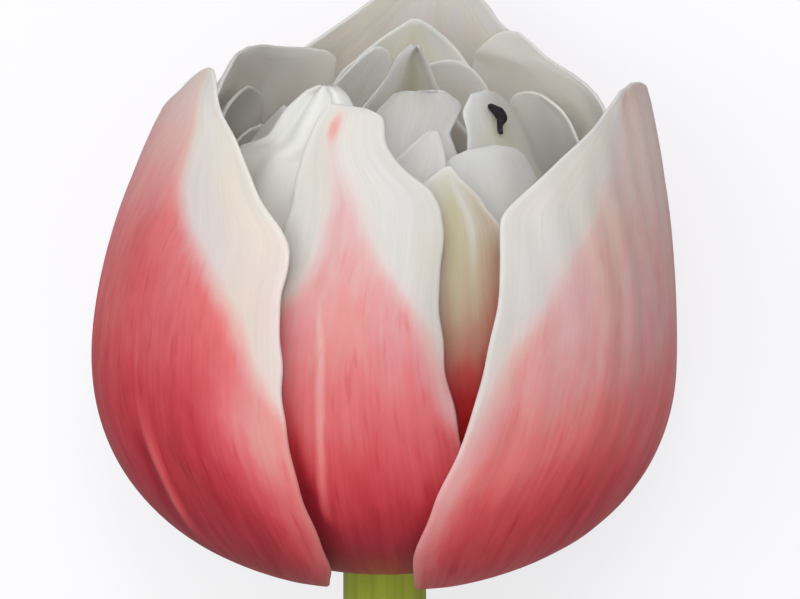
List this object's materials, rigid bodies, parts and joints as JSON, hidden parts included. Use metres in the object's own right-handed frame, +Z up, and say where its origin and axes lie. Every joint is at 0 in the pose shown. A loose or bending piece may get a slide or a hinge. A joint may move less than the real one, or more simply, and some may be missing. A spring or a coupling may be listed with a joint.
{
  "type": "cut double tulip",
  "caption": "Cut tulip with a full cup of overlapping white petals flamed pink from the base, on a smooth stem with two leaves; it lies on a surface.",
  "frame": {"origin": "on the surface that the flower lies on, at the middle of the flattened spot under the bloom", "axes": "+Y from the cut end of the stem towards the bloom's mouth, +Z up and out of the bloom's front, +X to the right of that front"},
  "size_m": [0.0811, 0.2982, 0.0558],
  "materials": {
    "petal_flamed": "satin",
    "petal_pale": "satin",
    "petal_inner": "satin",
    "stem": "satin",
    "leaf": "satin",
    "pistil": "satin",
    "anther": "matte"
  },
  "bodies": {
    "root": {"fourth_petal_back_left": "petal_inner", "fourth_petal_back_right": "petal_inner", "fourth_petal_front": "petal_inner", "fourth_petal_front_right": "petal_inner", "fourth_petal_hooded": "petal_inner", "fourth_petal_left": "petal_inner", "fourth_petal_right": "petal_inner", "inner_petal_back": "petal_inner", "inner_petal_left": "petal_inner", "inner_petal_right": "petal_inner", "leaf_large": "leaf", "leaf_small": "leaf", "outer_petal_back": "petal_flamed", "outer_petal_left": "petal_flamed", "outer_petal_right": "petal_flamed", "petaloid_anther": "anther", "petaloid_stamen": "petal_inner", "pistil": "pistil", "second_petal_back_left": "petal_flamed", "second_petal_back_right": "petal_flamed", "second_petal_front": "petal_flamed", "second_petal_left": "petal_flamed", "second_petal_right": "petal_flamed", "stamen_1": "anther", "stamen_2": "anther", "stamen_3": "anther", "stamen_4": "anther", "stamen_5": "anther", "stamen_6": "anther", "stem": "stem", "third_petal_back": "petal_pale", "third_petal_back_left": "petal_pale", "third_petal_back_right": "petal_pale", "third_petal_front": "petal_pale", "third_petal_front_left": "petal_pale", "third_petal_left": "petal_pale", "third_petal_right": "petal_pale"}
  },
  "joints": []
}
